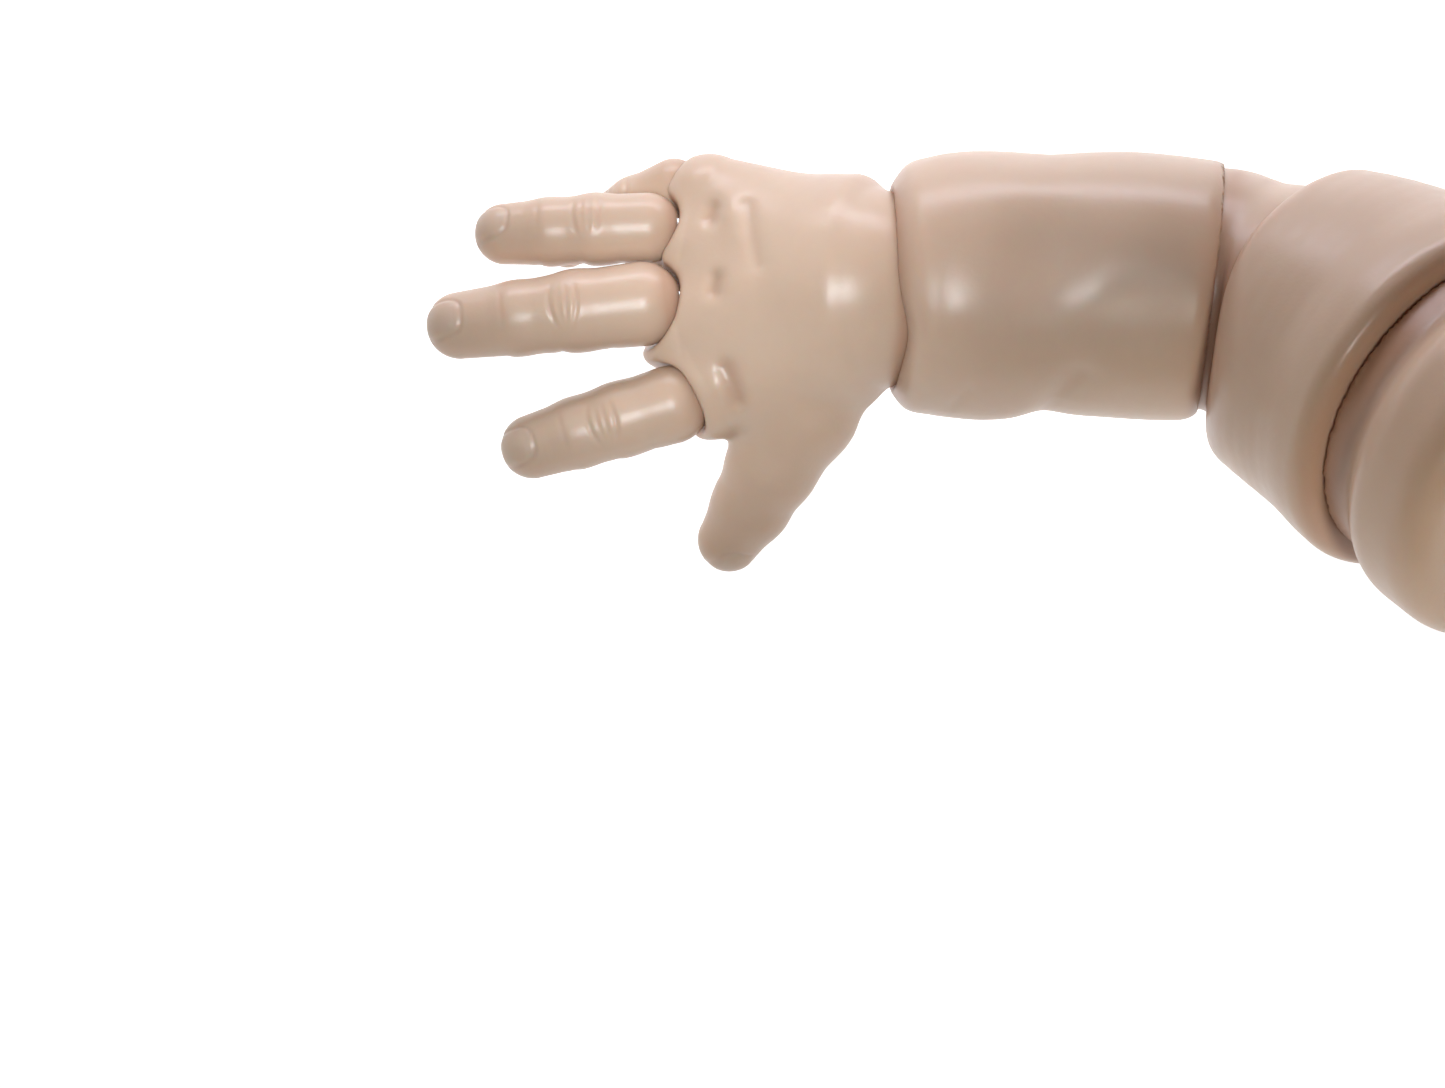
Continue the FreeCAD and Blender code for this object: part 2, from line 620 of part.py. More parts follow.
def palm_shell():
    peg_gap = PEG_R + SWIVEL_GAP
    peg_slot = swing_slot(WRIST_BALL_R + SLOT_OVERRUN, peg_gap, peg_gap, WRIST_FLEX + 1, WRIST_FLEX + 1)
    peg_slot = placed(peg_slot, WRIST, V(-1, 0, 0), V(0, 1, 0))
    solid = palm_limb().cut(palm_frame()).cut(peg_slot).cut(wrist_pin())
    for name in FINGERS:
        for space in finger_sweep(name):
            solid = solid.cut(space)
    return max(solid.Solids, key=lambda s: s.Volume)


# ---------------------------------------------------------------- build
NODES = {
    "shoulder_flange": shoulder_flange,
    "shoulder_insert": shoulder_insert,
    "swivel_stud": swivel_stud,
    "spring_washer": spring_washer,
    "friction_washer": friction_washer,
    "shoulder_plate": shoulder_plate,
    "shoulder_screws": shoulder_screws,
    "upper_arm_shell": upper_arm_shell,
    "upper_arm_core": upper_arm_core,
    "elbow_pin": elbow_pin,
    "elbow_washers": elbow_washers,
    "elbow_ball": elbow_ball,
    "forearm_shell": forearm_shell,
    "forearm_frame": forearm_frame,
    "forearm_screws": forearm_screws,
    "wrist_bush": wrist_bush,
    "wrist_washer": wrist_washer,
    "wrist_nut": wrist_nut,
    "wrist_peg": wrist_peg,
    "wrist_pin": wrist_pin,
    "palm_frame": palm_frame,
    "palm_shell": palm_shell,
}


def build():
    os.makedirs("parts", exist_ok=True)
    for node, make in NODES.items():
        save(node, make())
    for name in FINGERS:
        save(name + "_skin", finger_skin(name))
        save(name + "_core", finger_core(name))
        save(name + "_pin", knuckle_pin(name))


def save(node, shape):
    print(node, len(shape.Solids), "solids", round(shape.Volume / 1000, 2), "cm3", "valid", shape.isValid())
    shape.exportStep("parts/" + node + ".step")


build()
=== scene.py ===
import json
import math

import bpy
import numpy as np
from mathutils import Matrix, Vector


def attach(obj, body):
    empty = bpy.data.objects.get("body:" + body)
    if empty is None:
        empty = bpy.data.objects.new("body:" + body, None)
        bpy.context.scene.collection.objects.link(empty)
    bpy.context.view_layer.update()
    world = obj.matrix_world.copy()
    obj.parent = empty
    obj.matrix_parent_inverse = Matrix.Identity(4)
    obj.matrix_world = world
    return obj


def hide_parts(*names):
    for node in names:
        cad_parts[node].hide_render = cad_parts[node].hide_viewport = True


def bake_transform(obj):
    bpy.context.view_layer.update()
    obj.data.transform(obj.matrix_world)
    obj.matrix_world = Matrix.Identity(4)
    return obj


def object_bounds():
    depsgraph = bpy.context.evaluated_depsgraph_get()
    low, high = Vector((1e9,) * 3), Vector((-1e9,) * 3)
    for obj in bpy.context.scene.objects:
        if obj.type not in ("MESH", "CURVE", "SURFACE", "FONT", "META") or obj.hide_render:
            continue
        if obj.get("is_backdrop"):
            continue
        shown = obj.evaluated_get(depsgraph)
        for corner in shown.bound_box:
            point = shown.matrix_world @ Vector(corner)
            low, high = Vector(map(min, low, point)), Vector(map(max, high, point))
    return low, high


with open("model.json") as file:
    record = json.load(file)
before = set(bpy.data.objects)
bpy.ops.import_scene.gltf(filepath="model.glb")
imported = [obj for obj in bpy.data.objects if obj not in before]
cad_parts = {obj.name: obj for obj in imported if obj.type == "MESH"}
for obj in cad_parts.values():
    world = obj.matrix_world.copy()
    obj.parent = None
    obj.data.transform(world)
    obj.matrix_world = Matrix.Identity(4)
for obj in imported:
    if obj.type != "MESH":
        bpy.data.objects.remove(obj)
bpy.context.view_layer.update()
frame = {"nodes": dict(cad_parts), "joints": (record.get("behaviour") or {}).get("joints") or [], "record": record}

MM = 0.001
FAR = 1e9

# ---------------------------------------------------------------- places, in millimetres from the wrist's centre
JOINTS = {joint["name"]: joint for joint in frame["joints"]}


def joint_place(name):
    return np.array(JOINTS[name]["pos_m"]) / MM


def unit(v):
    v = np.asarray(v, float)
    return v / np.linalg.norm(v)


WRIST = joint_place("wrist_bend")
ELBOW = joint_place("elbow_bend") - WRIST
SHOULDER = joint_place("shoulder_swivel") - WRIST
END_FACE = -WRIST
SHOULDER_AXIS = unit(JOINTS["shoulder_swivel"]["axis"])
ELBOW_AXIS = unit(JOINTS["elbow_bend"]["axis"])
WRIST_BALL_R = 18.0
ELBOW_BALL_R = 20.5
GROOVE_R = 27.0
FLANGE_R = 30.5
GROOVE_W = 7.5
INSERT_R = 5.0
INSERT_DEPTH = 10.0
LIP_X = 6.5                 # the edge of the forearm at the wrist
FINGER_GAP = 0.45           # the room around a finger as it bends

X = np.array([1.0, 0.0, 0.0])
ELBOW_INSIDE = unit(np.cross(X, -ELBOW_AXIS))
UPPER_AXIS = unit([0.82, -0.35, 0.45])
UPPER_HALF_L = 25.5
UPPER_BEND = SHOULDER - SHOULDER_AXIS * UPPER_HALF_L


# ---------------------------------------------------------------- distance fields
def dist(p, c):
    d = p - np.asarray(c, np.float32)
    return np.sqrt((d * d).sum(-1))


def sphere(p, c, r):
    return dist(p, c) - r


def along_segment(p, a, b):
    a = np.asarray(a, np.float32)
    ab = np.asarray(b, np.float32) - a
    t = np.clip(((p - a) @ ab) / (ab @ ab), 0, 1)
    d = p - a - t[:, None] * ab
    return t, np.sqrt((d * d).sum(-1))


def limb(p, a, b, ra, rb):
    """A tapered capsule."""
    t, d = along_segment(p, a, b)
    return d - (ra + (rb - ra) * t)


def soft_min(a, b, k):
    h = np.clip(0.5 + 0.5 * (b - a) / k, 0, 1)
    return b + (a - b) * h - k * h * (1 - h)


def soft_max(a, b, k):
    return -soft_min(-a, -b, k)


def plane(p, point, normal):
    """Negative behind the plane."""
    return (p - np.asarray(point, np.float32)) @ np.asarray(normal, np.float32)


def bell(x, width):
    return np.exp(-(x / width) ** 2)


def rise(x):
    """From 0 to 1, one half at x = 0."""
    return 1 / (1 + np.exp(-x))


def dent(p, c, r, depth):
    return depth * bell(dist(p, c), r)


def groove(p, points, width, depth):
    """A furrow along a chain of points that dies away at both ends."""
    best = np.full(len(p), FAR, np.float32)
    for a, b in zip(points[:-1], points[1:]):
        best = np.minimum(best, along_segment(p, a, b)[1])
    return depth * bell(best, width)


def seen_from_above(p):
    """The points dropped onto the plane of the wrist, and how much each is on the upper side."""
    flat = p * np.array([1, 1, 0], np.float32)
    return flat, rise(p[:, 2] * 1.5)


def top_groove(p, points, width, depth):
    """A furrow in the upper side, along points given from above."""
    flat, upper = seen_from_above(p)
    return groove(flat, [[x, y, 0.0] for x, y in points], width, depth) * upper


def top_dent(p, x, y, r, depth):
    flat, upper = seen_from_above(p)
    return dent(flat, [x, y, 0.0], r, depth) * upper


def rotated(p, centre, axis, degrees):
    """The points turned about an axis, the opposite way, so that a field turns the right way."""
    angle = math.radians(-degrees)
    axis = unit(axis).astype(np.float32)
    centre = np.asarray(centre, np.float32)
    q = p - centre
    c, s = math.cos(angle), math.sin(angle)
    turned = q * c + np.cross(axis, q) * s + (q @ axis)[:, None] * axis * (1 - c)
    return turned.astype(np.float32) + centre


# ---------------------------------------------------------------- meshing
BATCH_POINTS = 250000       # grid points worked out at a time
SLOPE_REACH = 0.12
SETTLE_ROUNDS = 2
MIN_SLOPE_SQUARED = 0.05
MOVE_LIMIT = 0.6            # in grid steps
FINGER_STEP = 0.3
HAND_STEP = 0.45
FOREARM_STEP = 0.55
UPPER_ARM_STEP = 0.7


def surface(field, low, high, step):
    """Vertices and quads of a field's zero surface, by surface nets, then settled onto the surface."""
    axes = [np.arange(a, b + step, step, dtype=np.float32) for a, b in zip(low, high)]
    shape = [len(a) for a in axes]
    ys, zs = np.meshgrid(axes[1], axes[2], indexing="ij")
    values = np.empty(shape, np.float32)
    slabs = max(1, BATCH_POINTS // (shape[1] * shape[2]))
    for i in range(0, shape[0], slabs):
        xs = axes[0][i:i + slabs]
        block = np.empty((len(xs), shape[1], shape[2], 3), np.float32)
        block[..., 0] = xs[:, None, None]
        block[..., 1] = ys
        block[..., 2] = zs
        values[i:i + slabs] = field(block.reshape(-1, 3)).reshape(len(xs), shape[1], shape[2])
    inside = values < 0
    corners = [(i, j, k) for i in (0, 1) for j in (0, 1) for k in (0, 1)]
    count = np.zeros([n - 1 for n in shape], np.int8)
    for i, j, k in corners:
        count += inside[i:shape[0] - 1 + i, j:shape[1] - 1 + j, k:shape[2] - 1 + k]
    active = (count > 0) & (count < 8)
    cells = np.argwhere(active)
    number = np.full(active.shape, -1, np.int64)
    number[active] = np.arange(len(cells))
    total = np.zeros((len(cells), 3))
    hits = np.zeros(len(cells))
    for a in corners:
        for axis in range(3):
            if a[axis]:
                continue
            b = list(a)
            b[axis] = 1
            va = values[tuple((cells + a).T)]
            vb = values[tuple((cells + b).T)]
            cross = (va < 0) != (vb < 0)
            t = np.where(cross, va / np.where(cross, va - vb, 1), 0)
            place = np.tile(np.array(a, float), (len(cells), 1))
            place[:, axis] = t
            total += place * cross[:, None]
            hits += cross
    verts = np.array(low) + step * (cells + total / hits[:, None])
    quads = []
    for axis in range(3):
        u, v = (axis + 1) % 3, (axis + 2) % 3
        first = [slice(None)] * 3
        second = [slice(None)] * 3
        first[axis] = slice(0, -1)
        second[axis] = slice(1, None)
        change = inside[tuple(first)] != inside[tuple(second)]
        edge = np.argwhere(change)
        edge = edge[(edge[:, u] > 0) & (edge[:, v] > 0)
                    & (edge[:, u] < shape[u] - 1) & (edge[:, v] < shape[v] - 1)]
        starts_inside = inside[tuple(edge.T)]
        ring = []
        for du, dv in ((1, 1), (0, 1), (0, 0), (1, 0)):
            cell = edge.copy()
            cell[:, u] -= du
            cell[:, v] -= dv
            ring.append(number[tuple(cell.T)])
        ring = np.stack(ring, 1)
        ring[~starts_inside] = ring[~starts_inside][:, ::-1]
        quads.append(ring)
    verts = settled(field, verts.astype(np.float32), step)
    return verts, np.concatenate(quads)


def gradient(field, points, h=SLOPE_REACH):
    slopes = []
    for axis in range(3):
        shift = np.zeros(3, np.float32)
        shift[axis] = h
        slopes.append((field(points + shift) - field(points - shift)) / (2 * h))
    return np.stack(slopes, 1)


def settled(field, points, step):
    """The points moved along the field's slope until they lie on its zero surface."""
    for _ in range(SETTLE_ROUNDS):
        slope = gradient(field, points)
        size = np.maximum((slope * slope).sum(1), MIN_SLOPE_SQUARED)
        move = slope * (field(points) / size)[:, None]
        length = np.sqrt((move * move).sum(1))[:, None]
        points = points - move * np.minimum(1, MOVE_LIMIT * step / np.maximum(length, 1e-6))
    return points.astype(np.float32)


def piece(name, field, low, high, step, body, nodes, painted_shade=None, nails=None):
    """A skin made from a field, in place of its CAD nodes.
    """
    verts, quads = surface(field, low, high, step)
    mesh = bpy.data.meshes.new(name)
    mesh.vertices.add(len(verts))
    mesh.vertices.foreach_set("co", ((verts + WRIST) * MM).astype(np.float32).ravel())
    mesh.loops.add(len(quads) * 4)
    mesh.loops.foreach_set("vertex_index", quads.astype(np.int32).ravel())
    mesh.polygons.add(len(quads))
    mesh.polygons.foreach_set("loop_start", np.arange(0, len(quads) * 4, 4, dtype=np.int32))
    mesh.update(calc_edges=True)
    mesh.validate()
    mesh.polygons.foreach_set("use_smooth", np.ones(len(mesh.polygons), bool))
    # the first attribute is painted shade for creases, grooves and joint gaps; the nail attribute is the nails'
    # own paler colour
    for label, mask in (("painted_shade", painted_shade), ("nail", nails)):
        amount = np.zeros(len(verts), np.float32) if mask is None else mask(verts)
        attribute = mesh.attributes.new(label, "FLOAT", "POINT")
        attribute.data.foreach_set("value", np.clip(amount, 0, 1).astype(np.float32))
    obj = bpy.data.objects.new(name, mesh)
    bpy.context.scene.collection.objects.link(obj)
    mesh.materials.append(skin_material())
    if isinstance(body, str):
        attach(obj, body)
    else:
        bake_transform(obj)
    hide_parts(*nodes)
    return obj


# ---------------------------------------------------------------- fingers
UP = np.array([0.0, 0.0, 1.0])
FINGERS = {
    "index": {"reach": [-23.5, -7.0, -2.0], "radii": [6.7, 6.3, 6.0, 5.5],
              "arch": 0.5, "roll": 7, "wrinkle": 0.46},
    "middle": {"reach": [-31.0, -3.5, -2.0], "radii": [7.2, 6.8, 6.3, 5.7],
               "arch": 0.8, "roll": 14, "wrinkle": 0.40},
    "ring": {"reach": [-24.3, -0.9, -1.5], "radii": [6.0, 5.9, 5.7, 5.2],
             "arch": 0.6, "roll": 26, "wrinkle": 0.40},
    "little": {"reach": [-19.2, -8.5, -11.0], "radii": [5.1, 5.0, 4.7, 4.2],
               "arch": 1.5, "roll": 38, "wrinkle": 0.35},
}
STATIONS = (0.0, 0.34, 0.68, 1.0)
WRINKLES = ((-2.4, -0.05, 0.24), (-0.6, -0.01, 0.15), (0.7, 0.02, 0.12), (2.3, 0.05, 0.24))
UNDER_FOLDS = ((0.18, 0.12), (0.45, 0.28), (0.76, 0.2))
NAIL_FOLD_DEPTH = 0.20
NAIL_RISE = 0.10


def finger_points(name):
    """Centres along the finger: a shallow arch from the knuckle to the tip."""
    finger = FINGERS[name]
    root = joint_place(name + "_bend") - WRIST
    reach = np.array(finger["reach"])
    return [root + reach * t + UP * finger["arch"] * 4 * t * (1 - t) for t in STATIONS]


def finger_axes(name):
    """Directions along the finger, across its back, and out of its back, which is rolled a little."""
    finger = FINGERS[name]
    ahead = unit(finger["reach"])
    across = unit(np.cross(UP, ahead))
    out = np.cross(ahead, across)
    roll = math.radians(finger["roll"])
    rolled = out * math.cos(roll) - across * math.sin(roll)
    return ahead, unit(np.cross(rolled, ahead)), unit(rolled)


def finger_local(name, p, centre):
    ahead, across, out = finger_axes(name)
    q = p - np.asarray(centre, np.float32)
    return tuple(q @ way.astype(np.float32) for way in (ahead, across, out))


def nail_outline(u, v, w, tip_r, forward, width):
    """Signed distance to a nail's outline on the back of a tip, and whether a point is on the back."""
    half_l, half_w = 0.62 * tip_r, width * tip_r
    a = np.abs(u - forward * tip_r) / half_l
    b = np.abs(v) / half_w
    edge = ((a ** 3 + b ** 3) ** (1 / 3) - 1) * half_w
    return edge, w > 0.1 * tip_r


def nail_edge(name, p):
    tip_r = FINGERS[name]["radii"][-1]
    u, v, w = finger_local(name, p, finger_points(name)[-1])
    return nail_outline(u, v, w, tip_r, 0.42, 0.56)


def nail_colour(edge, front):
    return np.where(front, rise(-edge * 5), 0)


def finger_relief(name, p):
    """Wrinkles over the joints and the fold around the nail: positive sinks the surface."""
    finger = FINGERS[name]
    points = finger_points(name)
    length = np.linalg.norm(finger["reach"])
    u, v, w = finger_local(name, p, points[0])
    back = rise(w * 1.2)
    size = finger["radii"][1]
    relief = np.zeros(len(p), np.float32)
    middle = finger["wrinkle"] * length
    for offset, bow, depth in WRINKLES:
        line = u - (middle + offset - bow * v * v)
        relief += depth * bell(line, 0.45) * np.exp(-((v - 0.12 * size) / (0.5 * size)) ** 4) * back
    relief -= 0.22 * bell(u - middle, 3.2) * back
    line = u - (0.74 * length)
    relief += 0.10 * bell(line, 0.5) * np.exp(-(v / (0.5 * size)) ** 4) * back
    for t, depth in UNDER_FOLDS:
        relief += depth * bell(u - t * length, 0.7) * (1 - back)
    edge, front = nail_edge(name, p)
    relief += np.where(front, NAIL_FOLD_DEPTH * bell(edge, 0.34), 0)
    relief -= np.where(front, NAIL_RISE / (1 + np.exp(edge * 4)), 0)
    return relief


def finger_field(name):
    points = finger_points(name)
    radii = FINGERS[name]["radii"]

    def field(p):
        f = limb(p, points[0], points[1], radii[0], radii[1])
        for i in (1, 2):
            f = soft_min(f, limb(p, points[i], points[i + 1], radii[i], radii[i + 1]), 1.2)
        near = np.abs(f) < 2.5
        out = f.copy()
        out[near] += finger_relief(name, p[near])
        return out
    return field


# painted shade: darker in the finger's wrinkles, its nail fold and around its root, where shade falls
def finger_painted_shade(name):
    def mask(p):
        edge, front = nail_edge(name, p)
        past_root = (p - finger_points(name)[0]) @ unit(FINGERS[name]["reach"]) + 4.5
        root = np.exp(-np.maximum(past_root, 0) / 1.5)
        creases = np.clip(finger_relief(name, p) * 0.9, 0, 0.35)
        return creases * np.where(front & (edge < -0.5), 0.2, 1) + 0.5 * root
    return mask


def finger_nail(name):
    def mask(p):
        return nail_colour(*nail_edge(name, p))
    return mask


# ---------------------------------------------------------------- hand
THUMB = [
    ([-8.0, -19.5, -6.0], 10.3),
    ([-12.8, -29.6, -9.5], 7.9),
    ([-16.4, -36.4, -13.5], 6.8),
    ([-20.2, -42.4, -17.0], 5.6),
]
THUMB_HEEL = ([-3.0, -9.0, -6.0], 11.5)
PALM_LOBES = [
    ([-2.0, -4.0, -1.0], [-23.5, -15.8, -3.4], 16.6, 9.6),
    ([0.0, 0.0, 0.0], [-28.5, -5.4, -3.0], 17.8, 8.6),
    ([-0.5, 2.5, -0.5], [-26.8, 6.8, -5.0], 16.4, 8.4),
    ([-2.0, 4.0, -2.0], [-23.6, 15.6, -7.6], 14.8, 8.6),
]
HEEL_PAD = ([-3.0, 8.0, -8.0], [-17.0, 11.0, -9.0], 9.5, 7.5)
LOBE_BLEND = 4.0
WRIST_CLEAR = 0.5           # how steeply the hand's edge leans away from the forearm
DIMPLES = [(-23.0, 12.6, 0.9), (-22.6, 0.2, 0.9)]
PALM_LINES = [
    ([[-24.0, -9.0, -12.0], [-17.0, -8.0, -15.0], [-9.0, -5.0, -17.0], [-1.0, -3.5, -17.5]], 1.0, 0.9),
    ([[-25.0, -13.0, -11.5], [-18.0, -2.0, -14.5], [-14.0, 8.0, -15.0]], 0.9, 0.7),
    ([[-24.5, 0.0, -12.5], [-21.0, 9.0, -14.0], [-18.0, 15.0, -13.0]], 0.9, 0.6),
]


def sweep_field(p, name):
    """The space a finger needs as it bends."""
    points = finger_points(name)
    radii = FINGERS[name]["radii"]
    joint = JOINTS[name + "_bend"]
    root_r, tip_r = radii[0] + FINGER_GAP, radii[-1] + FINGER_GAP + 0.3
    best = sphere(p, points[0], root_r)
    for degrees in (0, 15, 30, 45):
        q = rotated(p, points[0], joint["axis"], degrees)
        best = np.minimum(best, limb(q, points[0], points[-1], root_r, tip_r))
    return best


def hand_relief(p):
    relief = np.zeros(len(p), np.float32)
    for x, y, half in DIMPLES:
        relief += top_groove(p, [(x - 0.2, y - half), (x + 0.2, y + half)], 1.5, 0.95)
        relief -= top_dent(p, x + 2.8, y, 2.6, 0.3)
    relief += top_groove(p, [(-20.9, -13.8), (-19.9, -16.2), (-18.9, -18.6)], 1.7, 1.0)
    relief -= top_dent(p, -23.0, -16.6, 2.6, 0.35)
    relief += top_groove(p, [(-17.4, 13.6), (-16.6, 9.0), (-15.4, 3.2)], 1.5, 0.45)
    relief -= top_groove(p, [(-19.8, 14.4), (-19.2, 9.0)], 2.4, 0.35)
    relief -= top_dent(p, -8.0, -4.0, 11.0, 0.6)
    for shift, depth in ((0.0, 0.5), (2.1, 0.36), (-2.2, 0.36)):
        start = np.array([-8.6, -36.2, -13.5]) + np.array([-0.53, -0.76, -0.37]) * shift
        middle = start + np.array([-1.6, 0.8, 4.4])
        relief += groove(p, [start, middle, middle + np.array([-3.0, 1.6, 2.6])], 0.5, depth)
    for line, width, depth in PALM_LINES:
        relief += groove(p, line, width, depth)
    edge, front = thumb_nail_edge(p)
    relief += np.where(front, NAIL_FOLD_DEPTH * bell(edge, 0.36) - NAIL_RISE / (1 + np.exp(edge * 4)), 0)
    return relief


def thumb_nail_edge(p):
    tip, tip_r = np.array(THUMB[-1][0]), THUMB[-1][1]
    ahead = unit(tip - np.array(THUMB[-2][0]))
    out = np.array([0.55, -0.35, 0.75])
    out = unit(out - ahead * (out @ ahead))
    across = np.cross(out, ahead)
    q = p - tip.astype(np.float32)
    u, v, w = (q @ way.astype(np.float32) for way in (ahead, across, out))
    return nail_outline(u, v, w, tip_r, 0.4, 0.6)


def hand_form(p):
    f = sphere(p, [0, 0, 0], WRIST_BALL_R)
    body = None
    for start, end, start_r, end_r in PALM_LOBES:
        lobe = limb(p, start, end, start_r, end_r)
        body = lobe if body is None else soft_min(body, lobe, LOBE_BLEND)
    body = soft_min(body, limb(p, *HEEL_PAD), LOBE_BLEND)
    thumb = limb(p, THUMB_HEEL[0], THUMB[0][0], THUMB_HEEL[1], THUMB[0][1])
    for (a, ra), (b, rb) in zip(THUMB[:-1], THUMB[1:]):
        thumb = soft_min(thumb, limb(p, a, b, ra, rb), 1.6)
    body = soft_min(body, thumb, 3.5)
    body = body + dent(p, [-15.0, 0.0, -17.0], 7.0, 1.6)
    past_wrist = (p[:, 0] - LIP_X + 0.8 + WRIST_CLEAR * np.abs(p[:, 2])) / math.hypot(1, WRIST_CLEAR)
    body = soft_max(body, past_wrist, 3.0)
    return soft_min(f, body, 1.6)


def hand_field(p):
    f = hand_form(p)
    near = np.abs(f) < 3.0
    out = f.copy()
    out[near] += hand_relief(p[near])
    for name in FINGERS:
        root = finger_points(name)[0]
        close = (dist(p, root) < 26) & (np.abs(f) < 16)
        out[close] = soft_max(out[close], -sweep_field(p[close], name), 2.0)
    return out


def root_distance(p):
    """How near a point is to the crease around a finger's root."""
    best = np.full(len(p), FAR, np.float32)
    for name in FINGERS:
        points = finger_points(name)
        radii = FINGERS[name]["radii"]
        best = np.minimum(best, limb(p, points[0], points[-1], radii[0], radii[-1]))
    return best


# painted shade: darker in the hand's creases, around the finger roots and where the hand goes into the forearm
def hand_painted_shade(p):
    crease = bell(np.maximum(root_distance(p), 0), 1.1)
    wrist = rise((p[:, 0] - LIP_X - 0.8) * 2.5)
    return np.clip(hand_relief(p) * 0.5, 0, 0.4) + 0.55 * crease + 0.6 * wrist


def hand_nail(p):
    return nail_colour(*thumb_nail_edge(p))


# ---------------------------------------------------------------- forearm
FOREARM_PROFILE = np.array([
    [LIP_X - 1.0, 17.4], [LIP_X + 1.0, 18.7], [9.7, 20.6], [13.9, 21.8], [19.5, 22.4], [26.5, 22.3],
    [34.0, 21.9], [41.0, 22.3], [50.0, 22.5], [57.0, 22.2], [63.0, 21.6], [70.0, 21.0],
])
FOREARM_BORE_R = 18.7
FOREARM_BORE_START = 21.0
RIM_TILT = 12.0
UPPER_RIM_TILT = 50.0
UPPER_RIM_OFFSET = 12.5
ARM_END = SHOULDER - SHOULDER_AXIS * 2.4
FOLD = [[31.0, -13.0, -17.0], [32.0, -20.0, -8.0], [32.9, -22.2, 0.0], [34.4, -20.2, 9.0], [37.2, -16.4, 14.8]]


def rim_normal(tilt):
    angle = math.radians(tilt)
    return X * math.cos(angle) + ELBOW_INSIDE * math.sin(angle)


def past_rim(p, tilt=RIM_TILT, shift=0.0):
    """How far a point is past a plane near the elbow, tilted and then shifted along its normal."""
    normal = rim_normal(tilt)
    return plane(p, ELBOW + normal * shift, normal)


def past_upper_rim(p):
    return past_rim(p, UPPER_RIM_TILT, UPPER_RIM_OFFSET)


def smooth_profile(x, table):
    """Radius between the stations of a table, by a cubic through them."""
    i = np.clip(np.searchsorted(table[:, 0], x) - 1, 0, len(table) - 2)
    x0, x1 = table[i, 0], table[i + 1, 0]
    t = np.clip((x - x0) / (x1 - x0), 0, 1)
    m = np.gradient(table[:, 1], table[:, 0])
    h = x1 - x0
    y0, y1 = table[i, 1], table[i + 1, 1]
    return ((2 * t ** 3 - 3 * t ** 2 + 1) * y0 + (t ** 3 - 2 * t ** 2 + t) * h * m[i]
            + (-2 * t ** 3 + 3 * t ** 2) * y1 + (t ** 3 - t ** 2) * h * m[i + 1])


def forearm_relief(p):
    relief = groove(p, FOLD, 0.9, 1.6)
    relief += groove(p, FOLD[1:], 3.4, 0.8)
    relief += top_dent(p, 30.5, 4.0, 8.0, 1.7)
    relief += top_dent(p, 47.0, -4.0, 8.0, 0.8)
    relief -= top_dent(p, 26.0, 13.0, 7.5, 0.5)
    relief -= top_dent(p, 51.0, 13.0, 8.5, 0.6)
    relief -= top_dent(p, 15.5, -8.5, 7.5, 0.7)
    relief -= dent(p, [24.5, -20.5, 2.0], 7.5, 0.7)
    relief += top_groove(p, [(17.0, -20.0), (19.2, -17.6)], 0.9, 0.3)
    return relief


def forearm_field(p):
    centre_y = 0.9 * np.exp(-((p[:, 0] - 30.0) / 22.0) ** 4)
    radius = smooth_profile(p[:, 0], FOREARM_PROFILE)
    f = np.sqrt((p[:, 1] - centre_y) ** 2 + p[:, 2] ** 2) - radius
    near = np.abs(f) < 6
    f[near] += forearm_relief(p[near])
    f = soft_max(f, past_rim(p), 4.0)
    heel = 2.6 * bell(p[:, 1] + 9.0, 7.0) / (1 + np.exp(-p[:, 2]))
    f = soft_max(f, LIP_X + heel - p[:, 0], 3.6)
    f = soft_max(f, -sphere(p, ELBOW, ELBOW_BALL_R + 0.35), 0.5)
    f = soft_max(f, -sphere(p, [0, 0, 0], WRIST_BALL_R + 0.4), 0.8)
    bore = np.sqrt(p[:, 1] ** 2 + p[:, 2] ** 2) - FOREARM_BORE_R
    bore = np.maximum(bore, FOREARM_BORE_START - p[:, 0])
    bore = np.maximum(bore, p[:, 0] - (ELBOW[0] - 8))
    return np.maximum(f, -bore)


# painted shade: darker along the fold, at the lip by the wrist and at the rim by the elbow
def forearm_painted_shade(p):
    wrist = bell(p[:, 0] - LIP_X, 2.2)
    elbow = bell(past_rim(p), 2.4)
    return np.clip(groove(p, FOLD, 1.4, 0.6), 0, 0.6) + 0.6 * wrist + 0.45 * elbow


# ---------------------------------------------------------------- upper arm
UPPER_STATIONS = np.linspace(-0.25, 1.12, 23)
UPPER_CURVE = [ELBOW * (1 - t) ** 2 + UPPER_BEND * (2 * t * (1 - t)) + SHOULDER * t * t for t in UPPER_STATIONS]
UPPER_PROFILE = np.array([
    [-0.3, 20.6], [0.0, 22.2], [0.25, 25.4], [0.5, 28.2], [0.75, 30.0], [0.93, 31.4], [1.02, 31.2], [1.2, 29.5],
])
UPPER_RADII = smooth_profile(UPPER_STATIONS, UPPER_PROFILE)


def upper_limb(p):
    best = np.full(len(p), FAR, np.float32)
    for a, b, ra, rb in zip(UPPER_CURVE[:-1], UPPER_CURVE[1:], UPPER_RADII[:-1], UPPER_RADII[1:]):
        best = np.minimum(best, limb(p, a, b, ra, rb))
    return best


def upper_arm_field(p):
    f = upper_limb(p)
    f = soft_max(f, -past_rim(p, shift=0.4), 4.0)
    f = soft_max(f, -past_upper_rim(p), 3.0)
    f = soft_max(f, plane(p, ARM_END, SHOULDER_AXIS), 4.0)
    return soft_max(f, -elbow_ball_field(p, 0.02), 0.3)


# painted shade: darker at both rims by the elbow and beside the groove at the shoulder end
def upper_arm_painted_shade(p):
    groove_side = bell(plane(p, ARM_END, SHOULDER_AXIS), 1.5)
    return 0.45 * bell(past_rim(p), 2.4) + 0.35 * bell(past_upper_rim(p), 2.0) + 0.5 * groove_side


